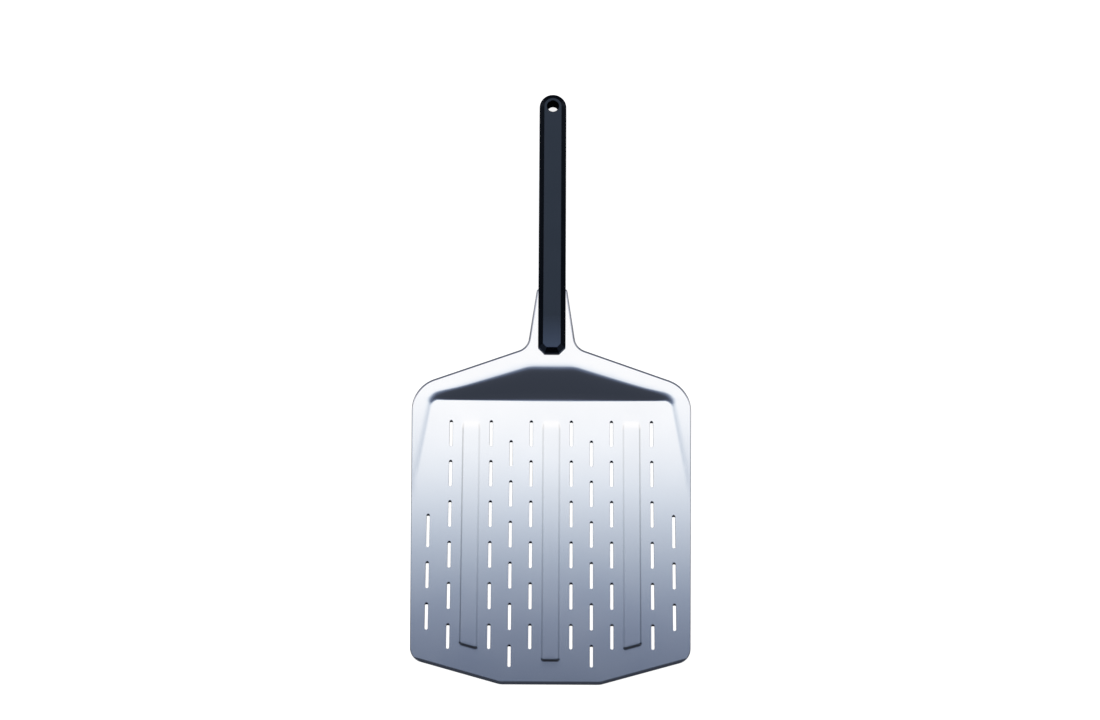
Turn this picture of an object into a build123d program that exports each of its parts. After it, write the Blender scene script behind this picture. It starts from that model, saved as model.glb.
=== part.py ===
"""Pizza peel: a perforated aluminium blade with a stamped neck in a two-part nylon handle.

Millimetres. +Z up, +Y along the handle towards the hanging hole, X across and symmetric.
The origin is under the middle of the whole length, on the surface that the blade rests on.
"""
import math
import os

from build123d import *

# ---- overall ----
OVERALL_LENGTH = 660.4
FRONT_Y = -OVERALL_LENGTH / 2
REAR_Y = OVERALL_LENGTH / 2

# ---- blade sheet ----
SHEET = 2.0
DECK_TOP = SHEET
RISE = 12.0                      # neck above the deck, top face to top face
BAND_RISE = 1.2                  # raised side bands above the deck
WALL_SLOPE = 26.0                # degrees, ramp and side risers
BEND_RADIUS = 6.0                # at the foot and the top of the ramp

# ---- blade outline, right half ----
FRONT_FLAT_X = 53.7
FRONT_SLANT = 15.3               # degrees
SIDE_FRONT_X = 150.4             # side line at the front corner
SIDE_REAR_X = 154.8              # side line at the rear corner
REAR_CORNER_Y = -5.0
SHOULDER_SLOPE = 18.2            # degrees
NECK_ROOT_X = 27.5
NECK_END_X = 17.2
NECK_END_Y = 104.2
TANG_HALF_WIDTH = 9.0
TANG_END_Y = 152.0
FRONT_KNEE_RADIUS = 20.0
FRONT_CORNER_RADIUS = 16.0
REAR_CORNER_RADIUS = 35.8
NECK_ROOT_RADIUS = 16.0
NECK_END_RADIUS = 3.5
TANG_ROOT_RADIUS = 1.5
TANG_END_RADIUS = 3.0
FRONT_BEVEL_DEPTH = 1.0
FRONT_BEVEL_WIDTH = 3.0

# ---- stamped deck ----
RAMP_FOOT_Y = -17.2
DECK_CORNER_X = 132.4            # side riser's foot at the ramp's foot
BAND_SPLAY = 0.18                # the side risers run outwards towards the front
DECK_CORNER_RADIUS = 9.0
WING_TOP_X = 25.0                # the shoulders start to fall here
WING_FOOT_X = 130.0              # and are down to the bands here
WING_BEND_RADIUS = 60.0

# ---- ribs and slots share one column pitch ----
COLUMN_PITCH = 22.1
RIB_COLUMNS = (-4, 0, 4)
RIB_WIDTH = 20.0
RIB_RISE = 1.2
RIB_WALL_SLOPE = 30.0            # degrees
RIB_REAR_Y = -44.5
RIB_FRONT_Y = -305.6             # middle rib
OUTER_RIB_FRONT_Y = -290.8       # at the outer ribs' centre lines
RIB_CORNER_RADIUS = 3.0

SLOT_WIDTH = 3.3
SLOT_LENGTH = 29.6
SLOT_PITCH = 44.5
FIRST_SLOT_FRONT_Y = -72.2
SLOT_ROWS = 6
EVEN_COLUMNS = (1, 3, 5)         # level with the first row
STAGGERED_COLUMN = 2             # half a pitch further forward
OUTER_COLUMN_X = 134.0
OUTER_ROWS = (2, 3, 4)
OUTER_FIRST_EXTRA = 7.2          # the outer columns' first slot is longer
EVEN_LAST_TRIM = 2.0             # the last slots stop short of the front edge
STAGGERED_LAST_TRIM = 5.3

# ---- handle ----
HANDLE_WIDTH = 30.4
HANDLE_THICKNESS = 22.8
HANDLE_FOOT_Y = 29.5
HANDLE_CHAMFER_WIDTH = 5.7
HANDLE_CHAMFER_DEPTH = 4.9
HANDLE_FOOT_CHAMFER = 7.2
HANDLE_EDGE_RADIUS = 0.7
PARTING_Z = DECK_TOP + RISE - SHEET / 2
HANDLE_BOTTOM = PARTING_Z - HANDLE_THICKNESS / 2
HANDLE_TOP = PARTING_Z + HANDLE_THICKNESS / 2
HOLE_RADIUS = 6.55
HOLE_RIM_CHAMFER = 0.5
HOLE_Y = REAR_Y - HANDLE_WIDTH / 2

# ---- inside the handle ----
SHELL_FLOOR = 3.2
CORE_WIDTH = 20.4
CORE_CORNER_RADIUS = 2.0
CORE_FRONT_Y = 40.0
CORE_REAR_Y = 300.0
RIB_THICKNESS = 2.0
RIB_SPACING = 18.6
NECK_CLEARANCE = 0.3
SPIGOT_RADIUS = 1.4
SPIGOT_HEIGHT = 2.0
SPIGOT_CLEARANCE = 0.05
SPIGOT_X = 12.7
SPIGOT_YS = (116.0, 208.0, 296.0)

# ---- fasteners ----
TANG_SCREW_YS = (50.0, 84.0, 134.0)
GRIP_SCREW_YS = (180.0, 232.0, 284.0)
TANG_SHANK_RADIUS = 2.5
GRIP_SHANK_RADIUS = 2.0
SHANK_CLEARANCE = 0.25
SHANK_LENGTH = 12.0
SHANK_TIP_CHAMFER = 0.5
HEAD_HEIGHT = 2.6
HEAD_DOME = 0.7                  # part of the head's height that its dome takes
TANG_HEAD_RADIUS = 4.6
GRIP_HEAD_RADIUS = 4.0
HEX_KEY_SIZE = 3.0
HEX_KEY_DEPTH = 1.5
WASHER_THICKNESS = 0.8
WASHER_RADIUS = 5.0
INSERT_LENGTH = 7.0
TANG_INSERT_RADIUS = 3.5
GRIP_INSERT_RADIUS = 2.9
RECESS_RADIUS = 5.2
TANG_RECESS_DEPTH = 5.5
GRIP_RECESS_DEPTH = 4.7
BOSS_RADIUS = 7.2
PLUG_THICKNESS = 1.8
PLUG_RIM_CHAMFER = 0.3
PLUG_SLOT_WIDTH = 1.0
PLUG_SLOT_DEPTH = 0.5

# ---- helpers ----
BODY_DEPTH = 10.0                # helper solids reach this far under the sheet
OVERRUN = 10.0                   # and this far past its front edge
BAND_FRONT_Y = -150.0            # the side risers have run off the sheet's sides here
BROW_REAR_Y = 12.0               # the brow lies in front of this
SHORTEST_BROW_EDGE = 0.5
SAME_POINT = 0.01
BEVEL_SECTION = [                # what the bevel takes off the deck's top edge
    (FRONT_BEVEL_WIDTH, 0.0), (FRONT_BEVEL_WIDTH, BODY_DEPTH),
    (-FRONT_BEVEL_WIDTH, BODY_DEPTH), (-FRONT_BEVEL_WIDTH, -2 * FRONT_BEVEL_DEPTH),
]


def run_over(height, slope):
    """Plan width of a wall of this height at this slope in degrees."""
    return height / math.tan(math.radians(slope))


def is_brow(edge):
    """True on the edge where the ramp and the side risers meet the neck and the bands."""
    middle = edge @ 0.5
    crosses = edge.bounding_box().size.X > SHORTEST_BROW_EDGE
    return crosses and abs(middle.X) < SIDE_FRONT_X and middle.Y < BROW_REAR_Y


def bevel_plane(side, slant):
    """Plane across the front edge (side 0) or a slanted one: X inwards, Y up."""
    turn = math.radians(slant)
    return Plane(origin=(side * FRONT_FLAT_X, FRONT_Y, DECK_TOP),
                 x_dir=(-math.sin(turn), math.cos(turn), 0),
                 z_dir=(math.cos(turn), math.sin(turn), 0))


def near(vertices, points):
    """The vertices that lie at the given plan points."""
    return [v for v in vertices
            for p in points if math.hypot(v.X - p[0], v.Y - p[1]) < SAME_POINT]


def both_sides(point):
    """A plan point and its mirror image across the centre line."""
    return [point, (-point[0], point[1])]


def blade_outline(plane):
    """The sheet's outline, with neck and tang, as a sketch on this plane."""
    side_taper = (SIDE_REAR_X - SIDE_FRONT_X) / (REAR_CORNER_Y - FRONT_Y)
    knee = (FRONT_FLAT_X, FRONT_Y)
    corner_y = FRONT_Y + (SIDE_FRONT_X - FRONT_FLAT_X) * math.tan(math.radians(FRONT_SLANT))
    front_corner = (SIDE_FRONT_X + side_taper * (corner_y - FRONT_Y), corner_y)
    rear_corner = (SIDE_REAR_X, REAR_CORNER_Y)
    root_y = REAR_CORNER_Y + (SIDE_REAR_X - NECK_ROOT_X) * math.tan(math.radians(SHOULDER_SLOPE))
    neck_root = (NECK_ROOT_X, root_y)
    neck_end = (NECK_END_X, NECK_END_Y)
    tang_root = (TANG_HALF_WIDTH, NECK_END_Y)
    tang_end = (TANG_HALF_WIDTH, TANG_END_Y)
    half = [knee, front_corner, rear_corner, neck_root, neck_end, tang_root, tang_end]
    rounding = {
        knee: FRONT_KNEE_RADIUS,
        front_corner: FRONT_CORNER_RADIUS,
        rear_corner: REAR_CORNER_RADIUS,
        neck_root: NECK_ROOT_RADIUS,
        neck_end: NECK_END_RADIUS,
        tang_root: TANG_ROOT_RADIUS,
        tang_end: TANG_END_RADIUS,
    }
    with BuildSketch(plane) as outline:
        with BuildLine():
            Polyline(*half, *[(-x, y) for x, y in reversed(half)], close=True)
        make_face()
        for corner, radius in rounding.items():
            fillet(near(outline.vertices(), both_sides(corner)), radius)
    return outline.sketch


def deck_plan(plane, grow):
    """The plan of the sunken deck, grown outwards by grow, as a sketch on this plane."""
    splay = math.atan(BAND_SPLAY)
    front_y = FRONT_Y - OVERRUN
    rear_y = RAMP_FOOT_Y + grow
    rear_x = DECK_CORNER_X + grow / math.cos(splay) - BAND_SPLAY * grow
    front_x = rear_x + BAND_SPLAY * (rear_y - front_y)
    rear = (rear_x, rear_y)
    with BuildSketch(plane) as plan:
        with BuildLine():
            Polyline((front_x, front_y), rear, (-rear_x, rear_y), (-front_x, front_y), close=True)
        make_face()
        fillet(near(plan.vertices(), both_sides(rear)), DECK_CORNER_RADIUS + grow)
    return plan.sketch


def rib_plan(plane, column, inset):
    """One rib's plan, drawn in by inset, as a sketch on this plane."""
    x = column * COLUMN_PITCH
    half = RIB_WIDTH / 2 - inset
    front_y = RIB_FRONT_Y if column == 0 else OUTER_RIB_FRONT_Y
    side = (column > 0) - (column < 0)
    lean = side * math.tan(math.radians(FRONT_SLANT))
    corners = [
        (x - half, front_y + inset - lean * half),
        (x + half, front_y + inset + lean * half),
        (x + half, RIB_REAR_Y - inset),
        (x - half, RIB_REAR_Y - inset),
    ]
    with BuildSketch(plane) as plan:
        with BuildLine():
            Polyline(*corners, close=True)
        make_face()
        fillet(plan.vertices(), RIB_CORNER_RADIUS - inset / 2)
    return plan.sketch


def slot_places():
    """(x, y of the middle, length) of every slot."""
    places = []
    for side in (-1, 1):
        for column in EVEN_COLUMNS + (STAGGERED_COLUMN,):
            staggered = column == STAGGERED_COLUMN
            shift = SLOT_PITCH / 2 if staggered else 0.0
            last_trim = STAGGERED_LAST_TRIM if staggered else EVEN_LAST_TRIM
            for row in range(SLOT_ROWS):
                front = FIRST_SLOT_FRONT_Y - shift - row * SLOT_PITCH
                rear = front + SLOT_LENGTH
                front += last_trim if row == SLOT_ROWS - 1 else 0.0
                places.append((side * column * COLUMN_PITCH, (front + rear) / 2, rear - front))
        for row in OUTER_ROWS:
            front = FIRST_SLOT_FRONT_Y - SLOT_PITCH / 2 - row * SLOT_PITCH
            rear = front + SLOT_LENGTH
            rear += OUTER_FIRST_EXTRA if row == OUTER_ROWS[0] else 0.0
            places.append((side * OUTER_COLUMN_X, (front + rear) / 2, rear - front))
    return places


# ---- blade ----
# The sheet is a solid whose top is the stamped surface, less the same solid one sheet lower.
neck_top = DECK_TOP + RISE
band_top = DECK_TOP + BAND_RISE
headroom = RISE + BEND_RADIUS     # the pocket's cutter stands this far over the deck

with BuildPart() as formed:
    with BuildSketch(Plane.XZ.offset(-REAR_Y)) as roof:
        with BuildLine() as roof_line:
            FilletPolyline(
                (-SIDE_REAR_X, band_top), (-WING_FOOT_X, band_top), (-WING_TOP_X, neck_top),
                (WING_TOP_X, neck_top), (WING_FOOT_X, band_top), (SIDE_REAR_X, band_top),
                radius=WING_BEND_RADIUS,
            )
            Polyline(
                (SIDE_REAR_X, band_top), (SIDE_REAR_X, -BODY_DEPTH),
                (-SIDE_REAR_X, -BODY_DEPTH), (-SIDE_REAR_X, band_top),
            )
        make_face()
    extrude(amount=OVERALL_LENGTH)
    extrude(blade_outline(Plane.XY.offset(-BODY_DEPTH)), amount=neck_top + 2 * BODY_DEPTH,
            mode=Mode.INTERSECT)
    loft([deck_plan(Plane.XY.offset(DECK_TOP), 0.0),
          deck_plan(Plane.XY.offset(DECK_TOP + headroom), run_over(headroom, WALL_SLOPE))],
         ruled=True, mode=Mode.SUBTRACT)
    pocket_edges = formed.edges(Select.LAST)
    foot = pocket_edges.filter_by_position(Axis.Z, DECK_TOP, DECK_TOP)
    fillet(foot.filter_by_position(Axis.Y, BAND_FRONT_Y, NECK_END_Y), BEND_RADIUS)
    brow = [e for e in pocket_edges.filter_by_position(Axis.Z, band_top - SAME_POINT, neck_top)
            if is_brow(e)]
    fillet(brow, BEND_RADIUS)
    for column in RIB_COLUMNS:
        loft([rib_plan(Plane.XY.offset(DECK_TOP), column, 0.0),
              rib_plan(Plane.XY.offset(DECK_TOP + RIB_RISE), column,
                       run_over(RIB_RISE, RIB_WALL_SLOPE))], ruled=True)

with BuildPart() as peel_blade:
    add(formed.part)
    add(formed.part.moved(Location((0, 0, -SHEET))), mode=Mode.SUBTRACT)
    for side, slant in ((0, 0.0), (1, FRONT_SLANT), (-1, -FRONT_SLANT)):
        with BuildSketch(bevel_plane(side, slant)):
            with BuildLine():
                Polyline(*BEVEL_SECTION, close=True)
            make_face()
        extrude(amount=SIDE_REAR_X, both=True, mode=Mode.SUBTRACT)
    with BuildSketch() as slots:
        for x, y, length in slot_places():
            with Locations((x, y)):
                SlotOverall(length, SLOT_WIDTH, rotation=90)
    extrude(amount=band_top, mode=Mode.SUBTRACT)
    with BuildSketch(Plane.XY.offset(neck_top)):
        with Locations(*[(0, y) for y in TANG_SCREW_YS]):
            Circle(TANG_SHANK_RADIUS + SHANK_CLEARANCE)
    extrude(amount=-RISE, mode=Mode.SUBTRACT)
peel_blade.part.label = "peel_blade"


# ---- handle, both halves cut from one blank so that their outer faces run on ----
def handle_plan(plane):
    """The handle's widest plan: cut corners at the foot, a half circle at the far end."""
    half = HANDLE_WIDTH / 2
    foot_half = half - HANDLE_FOOT_CHAMFER
    corner_y = HANDLE_FOOT_Y + HANDLE_FOOT_CHAMFER
    with BuildSketch(plane) as plan:
        with BuildLine():
            Polyline((-half, HOLE_Y), (-half, corner_y), (-foot_half, HANDLE_FOOT_Y),
                     (foot_half, HANDLE_FOOT_Y), (half, corner_y), (half, HOLE_Y))
            ThreePointArc((half, HOLE_Y), (0, REAR_Y), (-half, HOLE_Y))
        make_face()
    return plan.sketch


with BuildPart() as handle_blank:
    chamfer_lean = math.degrees(math.atan(HANDLE_CHAMFER_WIDTH / HANDLE_CHAMFER_DEPTH))
    upper_shoulder = Plane.XY.offset(HANDLE_TOP - HANDLE_CHAMFER_DEPTH)
    lower_shoulder = Plane.XY.offset(HANDLE_BOTTOM + HANDLE_CHAMFER_DEPTH)
    extrude(handle_plan(lower_shoulder), amount=HANDLE_THICKNESS - 2 * HANDLE_CHAMFER_DEPTH)
    extrude(handle_plan(upper_shoulder), amount=HANDLE_CHAMFER_DEPTH, taper=chamfer_lean)
    extrude(handle_plan(lower_shoulder), amount=-HANDLE_CHAMFER_DEPTH, taper=chamfer_lean)
    fillet(handle_blank.edges(), HANDLE_EDGE_RADIUS)
    with BuildSketch(Plane.XY.offset(HANDLE_BOTTOM)):
        with Locations((0, HOLE_Y)):
            Circle(HOLE_RADIUS)
    extrude(amount=HANDLE_THICKNESS, mode=Mode.SUBTRACT)
    rims = handle_blank.edges(Select.LAST).filter_by(GeomType.CIRCLE)
    chamfer(rims.filter_by_position(Axis.Z, HANDLE_TOP, HANDLE_TOP), HOLE_RIM_CHAMFER)
    rims = handle_blank.edges().filter_by(GeomType.CIRCLE)
    chamfer(rims.filter_by_position(Axis.Z, HANDLE_BOTTOM, HANDLE_BOTTOM), HOLE_RIM_CHAMFER)


def core_ribs():
    """Y of the stiffening ribs across the core, clear of the screw bosses."""
    stations = [CORE_FRONT_Y, *TANG_SCREW_YS, *GRIP_SCREW_YS, CORE_REAR_Y]
    places = []
    for start, end in zip(stations, stations[1:]):
        count = round((end - start) / RIB_SPACING) - 1
        places += [start + (end - start) * (i + 1) / (count + 1) for i in range(count)]
    return places


def core_shell(upwards):
    """Half of the handle, cored from its parting face, with bosses and ribs left standing."""
    parting = Plane.XY.offset(PARTING_Z)
    sense = 1 if upwards else -1
    depth = sense * (HANDLE_THICKNESS / 2 - SHELL_FLOOR)
    core_length = CORE_REAR_Y - CORE_FRONT_Y
    core_middle = (CORE_REAR_Y + CORE_FRONT_Y) / 2
    with BuildPart() as shell:
        add(handle_blank.part)
        split(bisect_by=parting, keep=Keep.TOP if upwards else Keep.BOTTOM)
        with BuildSketch(parting):
            with Locations((0, core_middle)):
                RectangleRounded(CORE_WIDTH, core_length, CORE_CORNER_RADIUS)
        extrude(amount=depth, mode=Mode.SUBTRACT)
        with BuildSketch(parting):
            with Locations(*[(0, y) for y in TANG_SCREW_YS + GRIP_SCREW_YS]):
                Circle(BOSS_RADIUS)
            with Locations(*[(0, y) for y in core_ribs()]):
                Rectangle(CORE_WIDTH, RIB_THICKNESS)
            with Locations((0, core_middle)):
                Rectangle(RIB_THICKNESS, core_length)
        extrude(amount=depth)
        with BuildSketch(parting):
            add(blade_outline(parting))
            offset(amount=NECK_CLEARANCE)
        extrude(amount=sense * SHEET / 2, mode=Mode.SUBTRACT)
    return shell.part


def stand_cylinders(ys, radius, bottom_z, top_z, x=0.0):
    """Upright cylinders of one height at these places along the handle."""
    with BuildPart() as cylinders:
        with BuildSketch(Plane.XY.offset(bottom_z)):
            with Locations(*[(sx, y) for y in ys for sx in sorted({x, -x})]):
                Circle(radius)
        extrude(amount=top_z - bottom_z)
    return cylinders.part


sheet_top = PARTING_Z + SHEET / 2
tang_seat_z = HANDLE_BOTTOM + TANG_RECESS_DEPTH
grip_seat_z = HANDLE_BOTTOM + GRIP_RECESS_DEPTH

with BuildPart() as handle_upper_shell:
    add(core_shell(upwards=True))
    add(stand_cylinders(TANG_SCREW_YS, TANG_INSERT_RADIUS, PARTING_Z, sheet_top + INSERT_LENGTH),
        mode=Mode.SUBTRACT)
    add(stand_cylinders(GRIP_SCREW_YS, GRIP_INSERT_RADIUS, PARTING_Z, PARTING_Z + INSERT_LENGTH),
        mode=Mode.SUBTRACT)
    add(stand_cylinders(SPIGOT_YS, SPIGOT_RADIUS + SPIGOT_CLEARANCE, PARTING_Z,
                        PARTING_Z + SPIGOT_HEIGHT + SPIGOT_CLEARANCE, SPIGOT_X),
        mode=Mode.SUBTRACT)
handle_upper_shell.part.label = "handle_upper_shell"

with BuildPart() as handle_lower_shell:
    add(core_shell(upwards=False))
    add(stand_cylinders(TANG_SCREW_YS, RECESS_RADIUS, HANDLE_BOTTOM, tang_seat_z),
        mode=Mode.SUBTRACT)
    add(stand_cylinders(GRIP_SCREW_YS, RECESS_RADIUS, HANDLE_BOTTOM, grip_seat_z),
        mode=Mode.SUBTRACT)
    add(stand_cylinders(TANG_SCREW_YS, TANG_SHANK_RADIUS + SHANK_CLEARANCE, tang_seat_z,
                        PARTING_Z), mode=Mode.SUBTRACT)
    add(stand_cylinders(GRIP_SCREW_YS, GRIP_SHANK_RADIUS + SHANK_CLEARANCE, grip_seat_z,
                        PARTING_Z), mode=Mode.SUBTRACT)
    add(stand_cylinders(SPIGOT_YS, SPIGOT_RADIUS, PARTING_Z, PARTING_Z + SPIGOT_HEIGHT, SPIGOT_X))
handle_lower_shell.part.label = "handle_lower_shell"


# ---- fasteners, all put in from below ----
def screw(plane, head_radius, shank_radius):
    """A button-head screw: the plane lies under the head, its Z runs along the shank."""
    with BuildPart() as body:
        with BuildSketch(plane):
            Circle(head_radius)
        extrude(amount=-HEAD_HEIGHT)
        crown = body.edges().filter_by(GeomType.CIRCLE).sort_by(Axis.Z)[0]
        fillet(crown, HEAD_HEIGHT * HEAD_DOME)
        with BuildSketch(plane):
            Circle(shank_radius)
        extrude(amount=SHANK_LENGTH)
        tip = body.edges().filter_by(GeomType.CIRCLE).sort_by(Axis.Z)[-1]
        chamfer(tip, SHANK_TIP_CHAMFER)
        with BuildSketch(plane.offset(-HEAD_HEIGHT)):
            RegularPolygon(HEX_KEY_SIZE / 2, 6, major_radius=False)
        extrude(amount=HEX_KEY_DEPTH, mode=Mode.SUBTRACT)
    return body.part


def ring(plane, outer_radius, inner_radius, height):
    """A plain ring, such as a washer or a threaded insert."""
    with BuildPart() as body:
        with BuildSketch(plane):
            Circle(outer_radius)
            Circle(inner_radius, mode=Mode.SUBTRACT)
        extrude(amount=height)
    return body.part


def plug(plane):
    """A round plug with a softened rim and a slot to lift it by."""
    with BuildPart() as body:
        with BuildSketch(plane):
            Circle(RECESS_RADIUS)
        extrude(amount=PLUG_THICKNESS)
        chamfer(body.edges().sort_by(Axis.Z)[0], PLUG_RIM_CHAMFER)
        with BuildSketch(plane):
            Rectangle(RECESS_RADIUS, PLUG_SLOT_WIDTH)
        extrude(amount=PLUG_SLOT_DEPTH, mode=Mode.SUBTRACT)
    return body.part


def seats(ys, z):
    """Upright planes at these places along the handle's centre line."""
    return [Plane(origin=(0, y, z), z_dir=(0, 0, 1)) for y in ys]


def group(label, pieces):
    """Separate solids of one kind, kept together as one labelled part."""
    with BuildPart() as together:
        for piece in pieces:
            add(piece)
    together.part.label = label
    return together.part


tang_head_z = tang_seat_z - WASHER_THICKNESS
tang_screws = group("tang_screws", [
    screw(p, TANG_HEAD_RADIUS, TANG_SHANK_RADIUS) for p in seats(TANG_SCREW_YS, tang_head_z)])
tang_washers = group("tang_washers", [
    ring(p, WASHER_RADIUS, TANG_SHANK_RADIUS + SHANK_CLEARANCE, WASHER_THICKNESS)
    for p in seats(TANG_SCREW_YS, tang_head_z)])
tang_inserts = group("tang_inserts", [
    ring(p, TANG_INSERT_RADIUS, TANG_SHANK_RADIUS, INSERT_LENGTH)
    for p in seats(TANG_SCREW_YS, sheet_top)])
grip_screws = group("grip_screws", [
    screw(p, GRIP_HEAD_RADIUS, GRIP_SHANK_RADIUS) for p in seats(GRIP_SCREW_YS, grip_seat_z)])
grip_inserts = group("grip_inserts", [
    ring(p, GRIP_INSERT_RADIUS, GRIP_SHANK_RADIUS, INSERT_LENGTH)
    for p in seats(GRIP_SCREW_YS, PARTING_Z)])
screw_plugs = group("screw_plugs", [
    plug(p) for p in seats(TANG_SCREW_YS + GRIP_SCREW_YS, HANDLE_BOTTOM)])

os.makedirs("parts", exist_ok=True)
for part in (peel_blade.part, handle_upper_shell.part, handle_lower_shell.part, tang_screws,
             tang_washers, tang_inserts, grip_screws, grip_inserts, screw_plugs):
    export_step(part, f"parts/{part.label}.step")
    print(part.label, len(part.solids()), "solids", round(part.volume), "mm3", part.is_valid)
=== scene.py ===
"""Looks for the pizza peel: a satin aluminium blade and a black nylon handle in soft studio light.

Lengths are in millimetres, and become metres where an object is made or placed.
"""
import math

import bpy
import numpy as np
from mathutils import Euler, Matrix, Vector
from mathutils.geometry import delaunay_2d_cdt


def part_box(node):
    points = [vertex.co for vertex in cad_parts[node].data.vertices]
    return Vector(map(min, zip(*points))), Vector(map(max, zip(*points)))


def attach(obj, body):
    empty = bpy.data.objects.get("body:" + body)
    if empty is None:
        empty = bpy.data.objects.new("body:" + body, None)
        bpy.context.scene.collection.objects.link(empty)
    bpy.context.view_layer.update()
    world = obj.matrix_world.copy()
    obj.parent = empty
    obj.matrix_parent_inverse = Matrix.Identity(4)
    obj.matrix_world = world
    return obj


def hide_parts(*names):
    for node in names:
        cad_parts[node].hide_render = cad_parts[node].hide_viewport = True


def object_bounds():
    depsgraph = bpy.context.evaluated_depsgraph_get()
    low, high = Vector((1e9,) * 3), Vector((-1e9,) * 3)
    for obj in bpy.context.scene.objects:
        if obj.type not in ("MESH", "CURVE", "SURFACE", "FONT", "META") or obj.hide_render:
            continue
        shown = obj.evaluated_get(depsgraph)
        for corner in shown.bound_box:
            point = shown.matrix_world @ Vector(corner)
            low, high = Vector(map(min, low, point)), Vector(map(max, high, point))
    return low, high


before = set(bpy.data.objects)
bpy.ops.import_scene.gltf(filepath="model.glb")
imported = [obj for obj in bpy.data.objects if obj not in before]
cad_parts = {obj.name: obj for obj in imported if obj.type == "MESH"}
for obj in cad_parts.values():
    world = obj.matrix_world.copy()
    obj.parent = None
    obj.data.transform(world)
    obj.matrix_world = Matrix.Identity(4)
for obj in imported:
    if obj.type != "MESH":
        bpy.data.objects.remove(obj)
cad_low, cad_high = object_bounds()

MM = 0.001
BODY = "root"

# ---- places taken from the frame ----
blade_low, blade_high = (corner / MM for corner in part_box("peel_blade"))
FRONT_Y = blade_low.y
CORNER_OVERHANG = 0.36           # the rear corners' rounding takes this off the sides
SIDE_REAR_X = blade_high.x + CORNER_OVERHANG  # the sides' lines cross the shoulders' out here
TANG_END_Y = blade_high.y
NECK_TOP = blade_high.z

# ---- blade ----
SHEET = 2.0
RISE = NECK_TOP - SHEET
BAND_RISE = 0.68                 # the side bands' rise at the deck's rear corners
BAND_END_Y = -130.0              # they have sunk to the deck here
BAND_END_SOFTNESS = 0.12
WALL_SLOPE = math.tan(math.radians(26.0))
RAMP_FOOT_Y = -17.2
FOOT_BEND_HALF = 5.0             # half of the bends' lengths in plan, where the wall is highest
BROW_BEND_HALF = 8.8
LOW_BEND_SHARE = 0.36            # a bend's length where the wall has no height left
FOOT_PULL = 4.0                  # keeps the foot of a low wall in line
RISER_PULL = 0.9                 # the same for the side risers
RISER_BEND_SHARE = 0.75          # which bend this much tighter
RISER_START_Y = -17.0
RISER_FULL_Y = -27.0
BROW_TAIL = 0.26                 # share of the brow's bend that is twice as long
SLOPE_BLEND = 8
TINY = 1e-6
DECK_CORNER_X = 132.4
BAND_SPLAY = 0.18
DECK_CORNER_RADIUS = 9.0
WING_TOP_X = 25.0
WING_FOOT_X = 130.0
WING_FOLD_HALF = 6.0

FRONT_FLAT_X = 53.7
FRONT_SLANT = math.radians(15.3)
SIDE_FRONT_X = 150.4
REAR_CORNER_Y = -5.0
SHOULDER_SLOPE = math.radians(18.2)
NECK_ROOT_X = 26.9
NECK_END = (16.7, 104.2)
TANG_HALF_WIDTH = 9.0
CORNER_RADII = (20.0, 16.0, 35.8, 16.0, 3.5, 1.5, 3.0)
BEVEL_DEPTH = 1.0
BEVEL_WIDTH = 2.9
BEVEL_CREASE = 0.25

COLUMN_PITCH = 22.1
RIB_COLUMNS = (-4, 0, 4)
RIB_WIDTH = 20.0
RIB_RISE = 1.2
RIB_WALL_SLOPE = math.tan(math.radians(30.0))
RIB_WALL_BEND = 0.5
RIB_CORNER_RADIUS = 3.2
RIB_REAR_Y = -44.5
RIB_REAR_STRETCH = 2.6           # the rear ends slope this much longer than the sides
RIB_FRONT_Y = -305.6
OUTER_RIB_FRONT_Y = -290.8
RIB_HALO_RISE = 0.06             # sheet drawn up around a rib's wall
RIB_HALO_REACH = 4.5

SLOT_WIDTH = 3.3
SLOT_LENGTH = 29.6
SLOT_PITCH = 44.5
FIRST_SLOT_FRONT_Y = -72.2
SLOT_ROWS = 6
EVEN_COLUMNS = (1, 3, 5)
STAGGERED_COLUMN = 2
OUTER_COLUMN_X = 134.0
OUTER_ROWS = (2, 3, 4)
OUTER_FIRST_EXTRA = 7.2
SLOT_EDGE = 0.35                 # the edges of slots and holes round over this far
SLOT_CAP_REACH = 2.3             # the edge rolls over this far at a slot's rear end
SLOT_CAP_START = 0.3
SLOT_CAP_FLATNESS = 0.25
EVEN_LAST_TRIM = 2.0
STAGGERED_LAST_TRIM = 5.3
SCREW_HOLE_YS = (50.0, 84.0, 134.0)
SCREW_HOLE_RADIUS = 2.75

# ---- blade mesh ----
EDGE_ROUNDING = 0.46             # a plain edge's rounding, top and bottom, of the thickness
ROLLED_TOP = 0.90                # a rolled edge falls this much of it from the top
ROLLED_LOW = 0.06
ROLLED_REACH = 1.35
ROLLED_BEVEL = 0.9               # 0 is a quarter circle, 1 a straight bevel
EDGE_SHADE_ATTRIBUTE = "painted_edge_shade"            # the attribute that says how rolled the edge is, and so how much painted shade darkens it
ROLLED_SIDE = 0.3                # how rolled the side bands' edges are
ROLLED_FRONT_Y = -40.0           # the shoulders' and neck's edges are fully rolled behind these
ROLLED_REAR_Y = -8.0
EDGE_STEPS = 5
OUTLINE_STEP = 2.0
ARC_STEP = math.radians(7.0)
SLOPE_PROBE = 0.02
COARSE_CELL = 8.0
FINE_CELL = 0.5
CELL_TURN = math.radians(2.6)    # a cell whose normals turn more than this is split
CLEAR_OF_LOOPS = 0.35
CELL_PROBES = 5                  # along each side of a cell
COARSE_CELL_PROBES = 9
PILL_END_POINTS = 11
SAME_POINT = 1e-5
SLIVER_AREA = 1e-3               # square millimetres; what rounding leaves outside is smaller
POINT_CHUNKS = 40                # distances are worked out in this many parts

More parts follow.
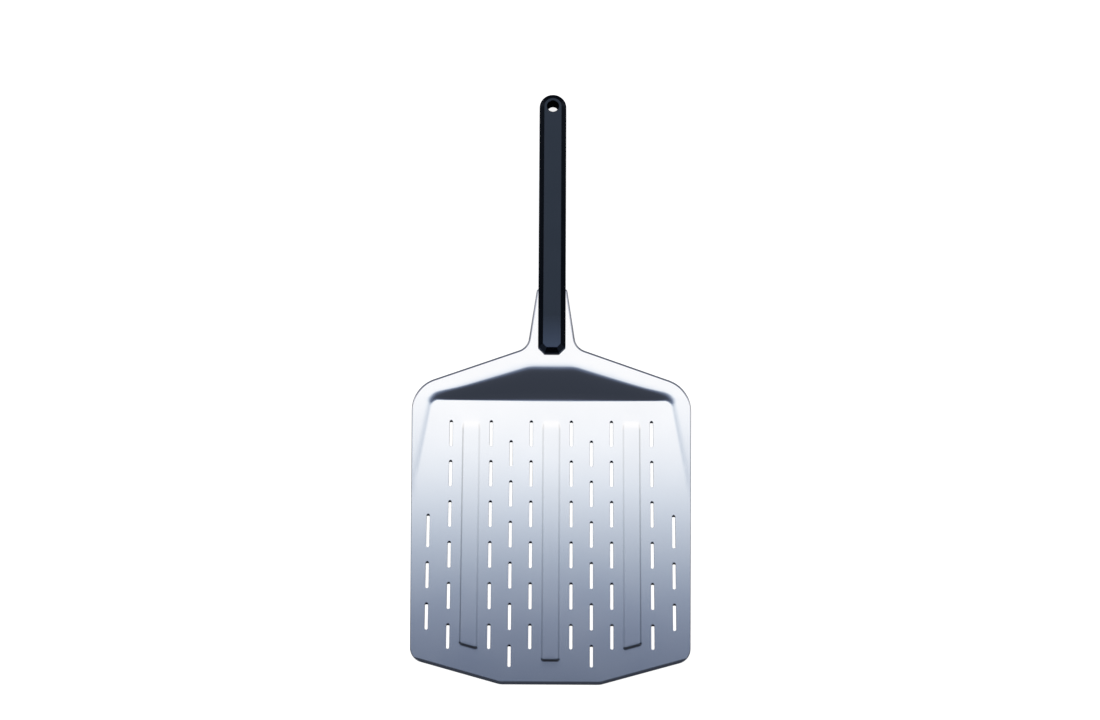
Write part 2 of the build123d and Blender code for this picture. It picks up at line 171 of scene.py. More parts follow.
# ---- studio dome ----
DOME_STOPS = [                   # degrees from overhead towards the handle's end, colour
    (-90.0, (0.050, 0.053, 0.060)),
    (-78.0, (0.012, 0.013, 0.016)),
    (-64.0, (0.006, 0.007, 0.009)),
    (-54.0, (0.018, 0.021, 0.029)),
    (-42.0, (0.039, 0.046, 0.063)),
    (-10.0, (0.042, 0.049, 0.067)),
    (-5.0, (0.050, 0.058, 0.083)),
    (-2.0, (0.072, 0.088, 0.132)),
    (1.9, (0.119, 0.153, 0.230)),
    (3.0, (0.139, 0.169, 0.258)),
    (4.1, (0.192, 0.237, 0.342)),
    (5.3, (0.293, 0.360, 0.487)),
    (6.4, (0.467, 0.538, 0.650)),
    (7.6, (0.722, 0.800, 0.900)),
    (8.7, (1.030, 1.075, 1.130)),
    (9.6, (1.200, 1.185, 1.170)),
    (11.0, (1.100, 1.088, 1.080)),
    (15.0, (1.095, 1.080, 1.072)),
    (38.0, (1.120, 1.105, 1.100)),
    (52.0, (0.620, 0.640, 0.700)),
    (68.0, (0.400, 0.420, 0.490)),
    (76.0, (0.850, 0.860, 0.880)),
    (90.0, (1.300, 1.310, 1.330)),
]
PANEL_HEIGHTS = (0.28, 0.46)     # the dome is dimmer low down
PANEL_LOW_SHARE = 0.35
GLOW = (0.50, 0.52, 0.56)        # the front half of the dome is lit again low down
GLOW_HEIGHTS = (0.30, 0.40)
GLOW_SIDE_STARTS = (0.30, 0.50)
GLOW_SIDE_ENDS = (0.72, 0.86)
GLOW_REAR_ENDS = (-0.10, 0.10)
DOME_FLANKS = (0.40, 0.62)       # sideways reach where the dome dims a little
DOME_FLANK_SHARE = 0.86
DOME_SIDES = (0.84, 0.972)       # and where it ends
HORIZON_SOFTNESS = 0.02

HALF_TURN = 180.0
BACKDROP = 0.93                  # what the camera sees in place of the dome

# ---- materials: colours, and noise in cycles per metre ----
METAL = (0.90, 0.91, 0.93)
# painted shade: the darker, bluer colour that rolled edges and slots' rear ends are mixed towards
METAL_PAINTED_SHADE = (0.70, 0.74, 0.86)
METAL_ROUGHNESS = (0.12, 0.14)
METAL_CLOUD = 14.0
METAL_GRAIN = 3500.0
METAL_GRAIN_DETAIL = 2.0
METAL_BUMP = (0.00001, 0.03)     # distance in metres, strength

NYLON = (0.002, 0.003, 0.006)
# painted sheen: a paler colour on the handle's top face near the foot
NYLON_PAINTED_SHEEN = (0.066, 0.090, 0.155)
NYLON_SHEEN_YS = (0.035, 0.072)   # metres, from the strongest painted sheen to none
NYLON_SHEEN_ZS = (0.0240, 0.0243)
NYLON_IOR = 1.58
NYLON_TINT = (0.53, 0.70, 1.0)
NYLON_ROUGHNESS = (0.21, 0.26)
NYLON_CLOUD = 30.0
NYLON_GRAIN = 2200.0
NYLON_BUMP = (0.00002, 0.1)

STEEL = (0.60, 0.59, 0.57)
STEEL_ROUGHNESS = 0.3
BRASS = (0.80, 0.60, 0.28)
BRASS_ROUGHNESS = 0.35
FASTENER_CLOUD = 400.0
FASTENER_SPREAD = (0.8, 1.2)     # shares of the roughness

# ---- floor ----
FLOOR_HALF = 20.0                # metres
FLOOR_DROP = 0.0003              # under the peel, in metres
FLOOR_GREY = 0.88
FLOOR_ROUGHNESS = 0.8
FLOOR_EMISSION = 0.85

# ---- camera ----
CAMERA_TILT = math.radians(12.06)
CAMERA_DISTANCE = 1.980
CAMERA_TARGET = Vector((-0.0019, 0.0252, SHEET * MM))
CAMERA_ROLL = math.radians(0.30)
CAMERA_LENS = 58.25
CAMERA_SENSOR = 36.0


def add_camera():
    data = bpy.data.cameras.new("camera")
    data.lens = CAMERA_LENS
    data.sensor_width = CAMERA_SENSOR
    data.clip_end = 100.0
    camera = bpy.data.objects.new("camera", data)
    away = Vector((0.0, -math.sin(CAMERA_TILT), math.cos(CAMERA_TILT)))
    camera.location = CAMERA_TARGET + away * CAMERA_DISTANCE
    camera.rotation_euler = (Euler((CAMERA_TILT, 0.0, 0.0)).to_matrix()
                             @ Matrix.Rotation(CAMERA_ROLL, 3, "Z")).to_euler()
    bpy.context.scene.collection.objects.link(camera)
    bpy.context.scene.camera = camera


# ---- the blade's top surface as a height over the plan, in millimetres ----
def soft_above(t, half):
    """max(t, 0) with its corner rounded over t = -half to half."""
    bend = (t + half) ** 2 / (4 * half)
    return np.where(t <= -half, 0.0, np.where(t >= half, t, bend))


def smooth(t):
    """A smooth step from 0 to 1."""
    t = np.clip(t, 0.0, 1.0)
    return t * t * (3 - 2 * t)


def band_share(y):
    """The side bands' height at y as a share of their height at the rear corners."""
    return soft_above((y - BAND_END_Y) / (RAMP_FOOT_Y - BAND_END_Y), BAND_END_SOFTNESS)


def roof_rise(x, y):
    """Height of the neck, the shoulders and the side bands over the deck."""
    band = BAND_RISE * np.minimum(band_share(y), 1.0)
    fall = (RISE - band) / (WING_FOOT_X - WING_TOP_X)
    across = np.abs(x)
    return RISE - fall * (soft_above(across - WING_TOP_X, WING_FOLD_HALF)
                          - soft_above(across - WING_FOOT_X, WING_FOLD_HALF))


def outside_deck(x, y):
    """Distance outwards from the foot line of the ramp and the side risers."""
    splay = math.atan(BAND_SPLAY)
    across = np.abs(x)
    radius = DECK_CORNER_RADIUS
    rear = y - RAMP_FOOT_Y
    side = (across - DECK_CORNER_X) * math.cos(splay) + rear * math.sin(splay)
    centre_y = RAMP_FOOT_Y - radius
    centre_x = DECK_CORNER_X - radius * (1 - math.sin(splay)) / math.cos(splay)
    dx, dy = across - centre_x, y - centre_y
    turning = (dx > 0) & (dy * math.cos(splay) > dx * math.sin(splay))
    return np.where(turning, np.hypot(dx, dy) - radius, np.maximum(rear, side))


def stamped_rise(x, y):
    """Deck, ramp, risers, shoulders and neck, over the deck's flat."""
    roof = roof_rise(x, y)
    fit = LOW_BEND_SHARE + (1 - LOW_BEND_SHARE) * roof / RISE
    riser = smooth((RISER_START_Y - y) / (RISER_START_Y - RISER_FULL_Y))
    pull = FOOT_PULL * (1 - fit) * (1 - riser) + RISER_PULL * riser
    fit *= 1 - (1 - RISER_BEND_SHARE) * riser
    foot_half, brow_half = FOOT_BEND_HALF * fit, BROW_BEND_HALF * fit
    low_slope = np.maximum(roof / (foot_half + brow_half), TINY)
    slope = (WALL_SLOPE ** -SLOPE_BLEND + low_slope ** -SLOPE_BLEND) ** (-1 / SLOPE_BLEND)
    wall = slope * soft_above(outside_deck(x, y) + pull, foot_half)
    over = wall - roof
    return wall - ((1 - BROW_TAIL) * soft_above(over, slope * brow_half)
                   + BROW_TAIL * soft_above(over, 2 * slope * brow_half))


def rib_rise(x, y):
    """The three ribs, over the deck's flat."""
    total = np.zeros_like(x)
    radius = RIB_CORNER_RADIUS
    for column in RIB_COLUMNS:
        middle = column * COLUMN_PITCH
        side = (column > 0) - (column < 0)
        front_y = RIB_FRONT_Y if column == 0 else OUTER_RIB_FRONT_Y
        lean = side * math.tan(FRONT_SLANT)
        flank = RIB_WIDTH / 2 - np.abs(x - middle)
        front = (y - front_y - lean * (x - middle)) / math.hypot(1.0, lean)
        rear = (RIB_REAR_Y - y) / RIB_REAR_STRETCH
        end = np.minimum(front, rear)
        corner = np.hypot(np.maximum(radius - flank, 0.0), np.maximum(radius - end, 0.0))
        inside = np.where(corner > 0, radius - corner, np.minimum(flank, end))
        wall = RIB_WALL_SLOPE * soft_above(inside, RIB_WALL_BEND)
        sharp = RIB_RISE - RIB_HALO_RISE
        plateau = wall - soft_above(wall - sharp, RIB_WALL_SLOPE * RIB_WALL_BEND)
        reach = smooth((inside + RIB_HALO_REACH / 2) / (1.5 * RIB_HALO_REACH))
        total += plateau + RIB_HALO_RISE * reach
    return total


def bevel_fall(x, y):
    """How far the bevel along the front edges lies under the deck."""
    across = np.abs(x)
    front = y - FRONT_Y
    slant = front * math.cos(FRONT_SLANT) - (across - FRONT_FLAT_X) * math.sin(FRONT_SLANT)
    inwards = np.minimum(front, slant)
    return BEVEL_DEPTH / BEVEL_WIDTH * soft_above(BEVEL_WIDTH - inwards, BEVEL_CREASE)


def under_height(x, y):
    return stamped_rise(x, y) + rib_rise(x, y)


def top_height(x, y):
    return under_height(x, y) + SHEET - bevel_fall(x, y)


def upward_normals(height, x, y):
    """Unit normals of a height field, pointing up."""
    step = SLOPE_PROBE
    slope_x = (height(x + step, y) - height(x - step, y)) / (2 * step)
    slope_y = (height(x, y + step) - height(x, y - step)) / (2 * step)
    normals = np.stack([-slope_x, -slope_y, np.ones_like(slope_x)], axis=-1)
    return normals / np.linalg.norm(normals, axis=-1, keepdims=True)


# ---- the blade's loops: outline, slots and screw holes ----
def rounded_loop(corners, radii):
    """Points and outward normals of an anticlockwise polygon with rounded corners."""
    points, normals = [], []
    corners = [np.array(c, float) for c in corners]
    arcs = []
    for i, (corner, radius) in enumerate(zip(corners, radii)):
        into = corner - corners[i - 1]
        out = corners[(i + 1) % len(corners)] - corner
        into, out = into / np.linalg.norm(into), out / np.linalg.norm(out)
        turn = math.atan2(into[0] * out[1] - into[1] * out[0], into @ out)
        first = corner - into * radius * math.tan(abs(turn) / 2)
        side = math.copysign(1.0, turn)
        count = max(2, math.ceil(abs(turn) / ARC_STEP))
        angles = turn * np.arange(count + 1) / count
        start = np.array([into[1], -into[0]])
        cos, sin = np.cos(angles), np.sin(angles)
        arc_normals = np.stack([start[0] * cos - start[1] * sin,
                                start[0] * sin + start[1] * cos], 1)
        centre = first - side * radius * start
        arcs.append((centre + side * radius * arc_normals, arc_normals))
    for i, (arc_points, arc_normals) in enumerate(arcs):
        points.extend(arc_points)
        normals.extend(arc_normals)
        end, following = arc_points[-1], arcs[(i + 1) % len(arcs)][0][0]
        gaps = max(1, round(np.linalg.norm(following - end) / OUTLINE_STEP))
        points.extend(end + (following - end) * k / gaps for k in range(1, gaps))
        normals.extend(arc_normals[-1] for k in range(1, gaps))
    return np.array(points), np.array(normals)


def outline_loop():
    """The outline anticlockwise, its edge's reach into the sheet, and how rolled the edge is."""
    taper = (SIDE_REAR_X - SIDE_FRONT_X) / (REAR_CORNER_Y - FRONT_Y)
    corner_y = FRONT_Y + (SIDE_FRONT_X - FRONT_FLAT_X) * math.tan(FRONT_SLANT)
    root_y = REAR_CORNER_Y + (SIDE_REAR_X - NECK_ROOT_X) * math.tan(SHOULDER_SLOPE)
    half = [
        (FRONT_FLAT_X, FRONT_Y),
        (SIDE_FRONT_X + taper * (corner_y - FRONT_Y), corner_y),
        (SIDE_REAR_X, REAR_CORNER_Y),
        (NECK_ROOT_X, root_y),
        NECK_END,
        (TANG_HALF_WIDTH, NECK_END[1]),
        (TANG_HALF_WIDTH, TANG_END_Y),
    ]
    corners = half + [(-x, y) for x, y in reversed(half)]
    points, outwards = rounded_loop(corners, CORNER_RADII + CORNER_RADII[::-1])
    y = points[:, 1]
    shoulder = smooth((y - ROLLED_FRONT_Y) / (ROLLED_REAR_Y - ROLLED_FRONT_Y))
    rolled = np.maximum(shoulder, ROLLED_SIDE * np.minimum(band_share(y), 1.0))
    thickness = top_height(*points.T) - under_height(*points.T)
    share = EDGE_ROUNDING + (ROLLED_REACH - EDGE_ROUNDING) * np.sqrt(rolled)
    return points, -outwards * (share * thickness)[:, None], rolled


def pill_loop(x, front, rear, radius):
    """A round hole's or a slot's loop clockwise, its edge's reach, and how rolled the edge is.

    A slot's rear end is nearly straight, and its edge is rolled.
    """
    edge = SLOT_EDGE
    half_turn = np.linspace(0.0, math.pi, PILL_END_POINTS)
    is_slot = rear - front > 2 * radius + edge
    if not is_slot:
        half_turn = half_turn[:-1]                    # a round hole's two halves meet
    flatness = SLOT_CAP_FLATNESS if is_slot else 1.0
    cap_reach = SLOT_CAP_REACH if is_slot else edge
    if is_slot:
        rear -= SLOT_CAP_START + SLOT_CAP_REACH
    ends = [(rear - flatness * radius, math.pi - half_turn, flatness, cap_reach),
            (front + radius, -half_turn, 1.0, edge)]
    span = ends[0][0] - ends[1][0]
    gaps = max(1, round(span / (2 * OUTLINE_STEP)))
    straight = ends[1][0] + span * np.arange(1, gaps) / gaps
    sides = [(radius, straight[::-1]), (-radius, straight)]
    points, reaches, rolls = [], [], []
    for (middle, angles, flat, reach), (side_x, ys) in zip(ends, sides):
        cos, sin = np.cos(angles), np.sin(angles)
        points += [np.column_stack([x + radius * cos, middle + flat * radius * sin]),
                   np.column_stack([np.full(len(ys), x + side_x), ys])]
        reaches += [np.column_stack([edge * cos, reach * sin]),
                    np.tile([math.copysign(edge, side_x), 0.0], (len(ys), 1))]
        rolls += [np.sqrt(np.abs(sin)) * (reach > edge), np.zeros(len(ys))]
    return np.concatenate(points), np.concatenate(reaches), np.concatenate(rolls)


def slots():
    """(x, front y, rear y, radius) of every slot and screw hole."""
    places = [(0.0, y - SCREW_HOLE_RADIUS, y + SCREW_HOLE_RADIUS, SCREW_HOLE_RADIUS)
              for y in SCREW_HOLE_YS]
    for side in (-1, 1):
        for column in EVEN_COLUMNS + (STAGGERED_COLUMN,):
            staggered = column == STAGGERED_COLUMN
            last_trim = STAGGERED_LAST_TRIM if staggered else EVEN_LAST_TRIM
            for row in range(SLOT_ROWS):
                front = FIRST_SLOT_FRONT_Y - (row + 0.5 * staggered) * SLOT_PITCH
                trim = last_trim if row == SLOT_ROWS - 1 else 0.0
                places.append((side * column * COLUMN_PITCH, front + trim, front + SLOT_LENGTH,
                               SLOT_WIDTH / 2))
        for row in OUTER_ROWS:
            front = FIRST_SLOT_FRONT_Y - (row + 0.5) * SLOT_PITCH
            extra = OUTER_FIRST_EXTRA if row == OUTER_ROWS[0] else 0.0
            places.append((side * OUTER_COLUMN_X, front, front + SLOT_LENGTH + extra,
                           SLOT_WIDTH / 2))
    return places


# ---- the blade's mesh ----
def graded_points():
    """Plan points, close together where the sheet bends and far apart where it is flat."""
    columns = np.arange(blade_low.x, blade_high.x, COARSE_CELL)
    rows = np.arange(FRONT_Y, TANG_END_Y, COARSE_CELL)
    grid = np.stack(np.meshgrid(columns, rows), axis=-1).reshape(-1, 2)
    kept, size = [], COARSE_CELL
    while len(grid):
        probes = COARSE_CELL_PROBES if size == COARSE_CELL else CELL_PROBES
        share = np.linspace(0.0, size, probes)
        x = grid[:, 0, None, None] + share[None, :, None] + 0 * share[None, None, :]
        y = grid[:, 1, None, None] + share[None, None, :] + 0 * share[None, :, None]
        normals = upward_normals(top_height, x, y).reshape(len(grid), -1, 3)
        mean = normals.mean(axis=1, keepdims=True)
        cosines = (normals * mean).sum(axis=2) / np.linalg.norm(mean, axis=2)
        bent = cosines.min(axis=1) < math.cos(CELL_TURN / 2)
        split = bent & (size > FINE_CELL)
        corners = np.array([(0, 0), (size, 0), (0, size), (size, size)])
        kept.append((grid[~split][:, None] + corners[None]).reshape(-1, 2))
        size /= 2
        halves = np.array([(0, 0), (size, 0), (0, size), (size, size)])
        grid = (grid[split][:, None] + halves[None]).reshape(-1, 2)
    return np.unique(np.round(np.concatenate(kept), 4), axis=0)


def inside_polygon(points, loop):
    """Which of the points lie inside a closed loop."""
    inside = np.zeros(len(points), bool)
    for (x0, y0), (x1, y1) in zip(loop, np.roll(loop, -1, axis=0)):
        if y0 == y1:
            continue
        crosses = (points[:, 1] > y0) != (points[:, 1] > y1)
        at = x0 + (points[:, 1] - y0) * (x1 - x0) / (y1 - y0)
        inside ^= crosses & (points[:, 0] < at)
    return inside


def in_metal(points, loops, margin):
    """Which of the points lie on the sheet, further than margin from its edges."""
    outline = loops[0]
    clear = inside_polygon(points, outline)
    for chunk in np.array_split(np.arange(len(points)), POINT_CHUNKS):
        gaps = np.linalg.norm(points[chunk, None] - outline[None], axis=2)
        clear[chunk] &= gaps.min(axis=1) > margin * 2
    for x, front, rear, radius in slots():
        reach = radius + EDGE_ROUNDING * SHEET + margin
        along = np.clip(points[:, 1], front + radius, rear - radius)
        clear &= np.hypot(points[:, 0] - x, points[:, 1] - along) > reach
    return clear


def blade_mesh():
    """The formed sheet's vertices, faces and normals, and how rolled the edge is at each vertex,
    which sets the painted edge shade.
    """
    loops = [outline_loop()] + [pill_loop(*place) for place in slots()]
    inner = [points + reach for points, reach, _ in loops]

    extra = graded_points()
    extra = extra[in_metal(extra, inner, CLEAR_OF_LOOPS)]
    plan = np.concatenate(inner + [extra])
    edges, first = [], 0
    for loop in inner:
        count = len(loop)
        edges += [(first + i, first + (i + 1) % count) for i in range(count)]
        first += count
    found = delaunay_2d_cdt([Vector(p) for p in plan], edges, [], 0, SAME_POINT)
    where = np.array([tuple(v) for v in found[0]])
    triangles = np.array(found[2])
    new_index = {old: new for new, olds in enumerate(found[3]) for old in olds}
    centres = where[triangles].mean(axis=1)
    triangles = triangles[in_metal_centres(centres, inner)]
    loop_edges = np.array([(new_index[a], new_index[b]) for a, b in edges])
    triangles = without_strays(triangles, where, loop_edges)

    count = len(where)
    x, y = where.T
    top_normals = upward_normals(top_height, x, y)
    low_normals = -upward_normals(under_height, x, y)
    vertices = [np.column_stack([x, y, top_height(x, y)]),
                np.column_stack([x, y, under_height(x, y)])]
    normals = [top_normals, low_normals]
    faces = [tuple(t) for t in triangles] + [tuple(t[::-1] + count) for t in triangles]

    # painted shade: how far each vertex's colour is darkened towards the rolled-edge colour
    edge_shade_share = [np.zeros(2 * count)]
    total, first = 2 * count, 0
    for points, reach, rolled in loops:
        size = len(points)
        ids = np.array([new_index[first + i] for i in range(size)])
        first += size
        length = np.linalg.norm(reach, axis=1)
        side = np.column_stack([-reach / length[:, None], np.zeros(size)])
        thickness = top_height(*points.T) - under_height(*points.T)
        rings = [ids]
        for sheet_side, height, rolled_share in ((1, top_height, ROLLED_TOP),
                                                 (-1, under_height, ROLLED_LOW)):
            depth = thickness * (EDGE_ROUNDING + (rolled_share - EDGE_ROUNDING) * rolled)
            bevel = ROLLED_BEVEL * rolled
            angles = np.linspace(0.0, math.pi / 2, EDGE_STEPS + 1)[1:]
            for angle in angles if sheet_side == 1 else angles[::-1]:
                sin, cos = math.sin(angle), math.cos(angle)
                px, py = (points + reach * (1 - sin)).T
                drop = depth * (bevel * sin + (1 - bevel) * (1 - cos))
                vertices.append(np.column_stack([px, py, height(px, py) - sheet_side * drop]))
                flat = sheet_side * upward_normals(height, px, py)
                fall = depth * (bevel * cos + (1 - bevel) * sin)
                blend = (length * cos)[:, None] * flat + fall[:, None] * side
                normals.append(blend / np.linalg.norm(blend, axis=1, keepdims=True))
                edge_shade_share.append(rolled)
                rings.append(total + np.arange(size))
                total += size
        rings.append(ids + count)
        for near, far in zip(rings, rings[1:]):
            following = np.roll(np.arange(size), -1)
            faces += zip(near, far, far[following], near[following])
    return np.concatenate(vertices) * MM, faces, np.concatenate(normals), np.concatenate(edge_shade_share)


def in_metal_centres(centres, inner):
    """Which triangle centres lie inside the outline and outside every slot."""
    keep = inside_polygon(centres, inner[0])
    for loop in inner[1:]:
        low, high = loop.min(axis=0), loop.max(axis=0)
        close = np.flatnonzero(((centres > low) & (centres < high)).all(axis=1))
        keep[close] &= ~inside_polygon(centres[close], loop)
    return keep


def without_strays(triangles, where, loop_edges):
    """The triangles without the slivers that hang on the outside of a straight edge."""
    first, second = (where[triangles[:, i]] - where[triangles[:, 0]] for i in (1, 2))
    thin = np.abs(first[:, 0] * second[:, 1] - first[:, 1] * second[:, 0]) / 2 < SLIVER_AREA
    loop_keys = np.sort(loop_edges, axis=1) @ (len(where), 1)
    while True:
        sides = np.sort(np.stack([triangles, np.roll(triangles, -1, axis=1)], axis=2), axis=2)
        keys = sides @ (len(where), 1)
        _, index, uses = np.unique(keys, return_inverse=True, return_counts=True)
        free = (uses[index].reshape(keys.shape) == 1) & ~np.isin(keys, loop_keys)
        stray = thin & free.any(axis=1)
        if not stray.any():
            return triangles
        triangles, thin = triangles[~stray], thin[~stray]


def mesh_piece(name, vertices, faces, normals=None):
    """A smooth-shaded mesh object in the row frame."""
    mesh = bpy.data.meshes.new(name)
    mesh.from_pydata([tuple(v) for v in vertices], [], [tuple(int(i) for i in f) for f in faces])
    mesh.shade_smooth()
    if normals is not None:
        mesh.normals_split_custom_set_from_vertices([tuple(n) for n in normals])
    piece = bpy.data.objects.new(name, mesh)
    bpy.context.scene.collection.objects.link(piece)
    return piece


# ---- materials ----
def new_material(name):
    material = bpy.data.materials.new(name)
    material.use_nodes = True
    nodes = material.node_tree.nodes
    return material, nodes, material.node_tree.links, nodes["Principled BSDF"]


def noise(nodes, links, coords, scale, detail=3.0):
    node = nodes.new("ShaderNodeTexNoise")
    node.inputs["Scale"].default_value = scale
    node.inputs["Detail"].default_value = detail
    links.new(coords, node.inputs["Vector"])
    return node.outputs["Fac"]


def map_range(nodes, links, value, low, high, from_low=0.3, from_high=0.7):
    node = nodes.new("ShaderNodeMapRange")
    node.inputs["From Min"].default_value = from_low
    node.inputs["From Max"].default_value = from_high
    node.inputs["To Min"].default_value = low
    node.inputs["To Max"].default_value = high
    links.new(value, node.inputs["Value"])
    return node.outputs["Result"]


def bump(nodes, links, height, distance, strength, shader):
    node = nodes.new("ShaderNodeBump")
    node.inputs["Distance"].default_value = distance
    node.inputs["Strength"].default_value = strength
    links.new(height, node.inputs["Height"])
    links.new(node.outputs["Normal"], shader.inputs["Normal"])


def aluminium():
    """Bead-blasted, clear anodised aluminium, with painted shade that makes its rolled edges darker
    and bluer.
    """
    material, nodes, links, shader = new_material("anodised_aluminium")
    coords = nodes.new("ShaderNodeTexCoord").outputs["Object"]
    shader.inputs["Metallic"].default_value = 1.0
    painted_edge_shade = nodes.new("ShaderNodeAttribute")
    painted_edge_shade.attribute_name = EDGE_SHADE_ATTRIBUTE
    # painted shade: rolled edges mix towards a darker, bluer metal colour
    tone = nodes.new("ShaderNodeMix")
    tone.data_type = "RGBA"
    links.new(painted_edge_shade.outputs["Fac"], tone.inputs["Factor"])
    tone.inputs["A"].default_value = (*METAL, 1.0)
    tone.inputs["B"].default_value = (*METAL_PAINTED_SHADE, 1.0)
    links.new(tone.outputs["Result"], shader.inputs["Base Color"])
    cloud = noise(nodes, links, coords, METAL_CLOUD)
    links.new(map_range(nodes, links, cloud, *METAL_ROUGHNESS), shader.inputs["Roughness"])
    grain = noise(nodes, links, coords, METAL_GRAIN, METAL_GRAIN_DETAIL)
    bump(nodes, links, grain, *METAL_BUMP, shader)
    return material


def nylon():
    """Black glass-filled nylon with a fine moulded grain, and a painted sheen that makes its top
    paler near the foot.
    """
    material, nodes, links, shader = new_material("black_nylon")
    coords = nodes.new("ShaderNodeTexCoord").outputs["Object"]
    split = nodes.new("ShaderNodeSeparateXYZ")
    links.new(coords, split.inputs[0])
    # painted sheen: paler on the top face, fading away from the foot
    foot = map_range(nodes, links, split.outputs["Y"], 1.0, 0.0, *NYLON_SHEEN_YS)
    top = map_range(nodes, links, split.outputs["Z"], 0.0, 1.0, *NYLON_SHEEN_ZS)
    sheen_share = nodes.new("ShaderNodeMath")
    sheen_share.operation = "MULTIPLY"
    links.new(foot, sheen_share.inputs[0])
    links.new(top, sheen_share.inputs[1])
    tone = nodes.new("ShaderNodeMix")
    tone.data_type = "RGBA"
    links.new(sheen_share.outputs[0], tone.inputs["Factor"])
    tone.inputs["A"].default_value = (*NYLON, 1.0)
    tone.inputs["B"].default_value = (*NYLON_PAINTED_SHEEN, 1.0)
    links.new(tone.outputs["Result"], shader.inputs["Base Color"])
    shader.inputs["IOR"].default_value = NYLON_IOR
    shader.inputs["Specular Tint"].default_value = (*NYLON_TINT, 1.0)
    cloud = noise(nodes, links, coords, NYLON_CLOUD)
    links.new(map_range(nodes, links, cloud, *NYLON_ROUGHNESS), shader.inputs["Roughness"])
    grain = noise(nodes, links, coords, NYLON_GRAIN)
    bump(nodes, links, grain, *NYLON_BUMP, shader)
    return material


def plain_metal(name, colour, roughness):
    material, nodes, links, shader = new_material(name)
    coords = nodes.new("ShaderNodeTexCoord").outputs["Object"]
    shader.inputs["Metallic"].default_value = 1.0
    shader.inputs["Base Color"].default_value = (*colour, 1.0)
    cloud = noise(nodes, links, coords, FASTENER_CLOUD)
    low_rough, high_rough = (roughness * share for share in FASTENER_SPREAD)
    links.new(map_range(nodes, links, cloud, low_rough, high_rough), shader.inputs["Roughness"])
    return material


def paint(node, material):
    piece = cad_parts[node]
    piece.data.materials.clear()
    piece.data.materials.append(material)


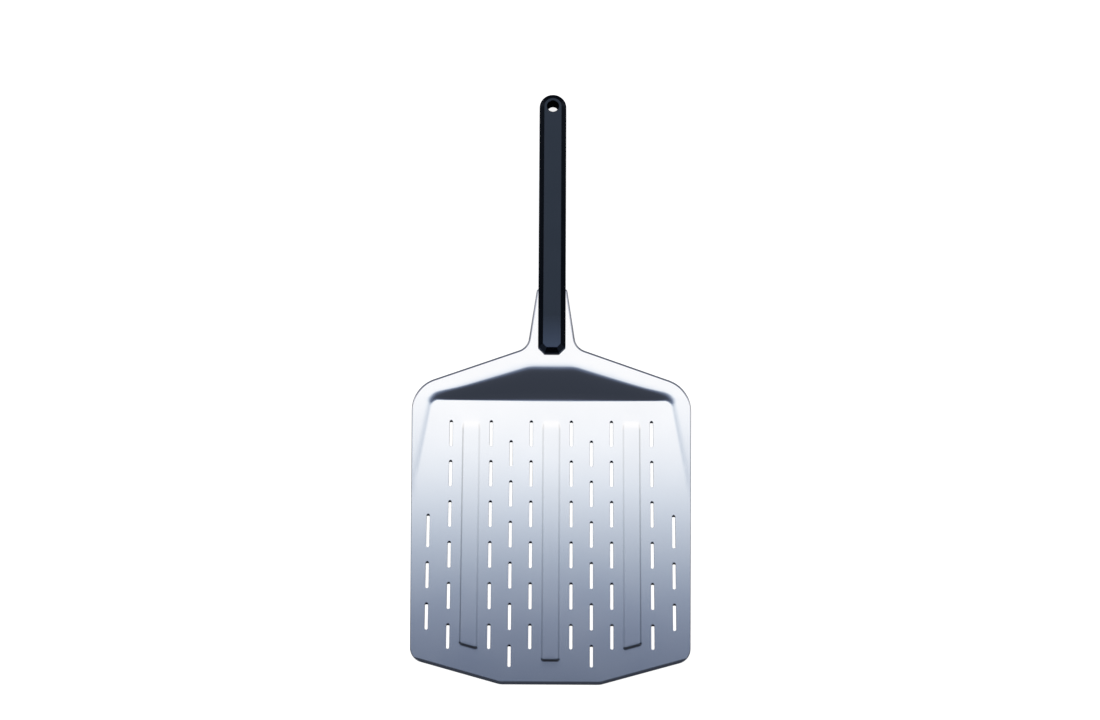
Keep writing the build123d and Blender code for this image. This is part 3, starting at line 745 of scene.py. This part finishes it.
# ---- light and floor ----
def studio_light():
    """A soft dome: bright towards the handle's end, dark in front, far out at the sides and below.

    A faint glow low in its front half lights the peel for views from behind. The colours were tuned
    until the blade's shading matched the photo's.
    """
    world = bpy.data.worlds.new("studio")
    bpy.context.scene.world = world
    world.use_nodes = True
    nodes, links = world.node_tree.nodes, world.node_tree.links
    nodes.clear()

    def math_node(operation, first, second=None):
        node = nodes.new("ShaderNodeMath")
        node.operation = operation
        for socket, value in zip(node.inputs, (first, second)):
            if isinstance(value, (int, float)):
                socket.default_value = value
            elif value is not None:
                links.new(value, socket)
        return node.outputs[0]

    def soft_step(value, start, end, before, after):
        node = nodes.new("ShaderNodeMapRange")
        node.interpolation_type = "SMOOTHSTEP"
        for name, number in (("From Min", start), ("From Max", end),
                             ("To Min", before), ("To Max", after)):
            node.inputs[name].default_value = number
        links.new(value, node.inputs["Value"])
        return node.outputs["Result"]

    direction = nodes.new("ShaderNodeTexCoord").outputs["Generated"]
    split = nodes.new("ShaderNodeSeparateXYZ")
    links.new(direction, split.inputs[0])
    x, y, z = split.outputs
    lean = math_node("ARCSINE", y)                    # 0 overhead, + to the handle's end
    share = math_node("ADD", math_node("DIVIDE", lean, math.pi), 0.5)
    ramp = nodes.new("ShaderNodeValToRGB")
    ramp.color_ramp.interpolation = "LINEAR"
    elements = ramp.color_ramp.elements
    while len(elements) < len(DOME_STOPS):
        elements.new(0.5)
    for element, (angle, colour) in zip(elements, DOME_STOPS):
        element.position = angle / HALF_TURN + 0.5
        element.color = (*colour, 1.0)
    links.new(share, ramp.inputs["Fac"])

    across = math_node("ABSOLUTE", x)
    sideways = math_node("MULTIPLY", soft_step(across, *DOME_FLANKS, 1.0, DOME_FLANK_SHARE),
                         soft_step(across, *DOME_SIDES, 1.0, 0.0))
    upwards = soft_step(z, -HORIZON_SOFTNESS, HORIZON_SOFTNESS, 0.0, 1.0)
    glow = upwards
    for fade in (soft_step(across, *GLOW_SIDE_STARTS, 0.0, 1.0),
                 soft_step(across, *GLOW_SIDE_ENDS, 1.0, 0.0),
                 soft_step(y, *GLOW_REAR_ENDS, 1.0, 0.0), soft_step(z, *GLOW_HEIGHTS, 1.0, 0.0)):
        glow = math_node("MULTIPLY", glow, fade)
    low_glow = nodes.new("ShaderNodeBackground")
    low_glow.inputs["Color"].default_value = (*GLOW, 1.0)
    links.new(glow, low_glow.inputs["Strength"])
    panel = nodes.new("ShaderNodeBackground")
    links.new(ramp.outputs["Color"], panel.inputs["Color"])
    low = soft_step(z, *PANEL_HEIGHTS, PANEL_LOW_SHARE, 1.0)
    shape = math_node("MULTIPLY", sideways, low)
    links.new(math_node("MULTIPLY", shape, upwards), panel.inputs["Strength"])
    dome = nodes.new("ShaderNodeAddShader")
    links.new(panel.outputs[0], dome.inputs[0])
    links.new(low_glow.outputs[0], dome.inputs[1])
    backdrop = nodes.new("ShaderNodeBackground")
    backdrop.inputs["Color"].default_value = (BACKDROP, BACKDROP, BACKDROP, 1.0)
    mix = nodes.new("ShaderNodeMixShader")
    links.new(nodes.new("ShaderNodeLightPath").outputs["Is Camera Ray"], mix.inputs["Fac"])
    links.new(dome.outputs[0], mix.inputs[1])
    links.new(backdrop.outputs[0], mix.inputs[2])
    links.new(mix.outputs[0], nodes.new("ShaderNodeOutputWorld").inputs["Surface"])


def add_floor():
    """A plain white table top that glows, so that it reads as the photo's white background."""
    half = FLOOR_HALF
    z = cad_low.z - FLOOR_DROP
    corners = [(-half, -half, z), (half, -half, z), (half, half, z), (-half, half, z)]
    floor = mesh_piece("floor", corners, [(0, 1, 2, 3)])
    material, *_, shader = new_material("white_table")
    shader.inputs["Base Color"].default_value = (FLOOR_GREY, FLOOR_GREY, FLOOR_GREY, 1.0)
    shader.inputs["Roughness"].default_value = FLOOR_ROUGHNESS
    shader.inputs["Emission Color"].default_value = (1.0, 1.0, 1.0, 1.0)
    shader.inputs["Emission Strength"].default_value = FLOOR_EMISSION
    floor.data.materials.append(material)
    floor.visible_glossy = False                      # glossy faces see the dark under the dome


bpy.context.scene.view_settings.view_transform = "Standard"
add_camera()
studio_light()
add_floor()

*sheet, painted_edge_shade = blade_mesh()
blade = mesh_piece("blade_sheet", *sheet)
# painted shade on the rolled edges, kept as a vertex attribute
blade.data.attributes.new(EDGE_SHADE_ATTRIBUTE, "FLOAT", "POINT").data.foreach_set("value", painted_edge_shade)
blade.data.materials.append(aluminium())
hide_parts("peel_blade")
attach(blade, BODY)

black_nylon = nylon()
paint("handle_upper_shell", black_nylon)
paint("handle_lower_shell", black_nylon)
paint("screw_plugs", black_nylon)
steel = plain_metal("stainless_steel", STEEL, STEEL_ROUGHNESS)
for node in ("tang_screws", "tang_washers", "grip_screws"):
    paint(node, steel)
brass = plain_metal("brass", BRASS, BRASS_ROUGHNESS)
for node in ("tang_inserts", "grip_inserts"):
    paint(node, brass)
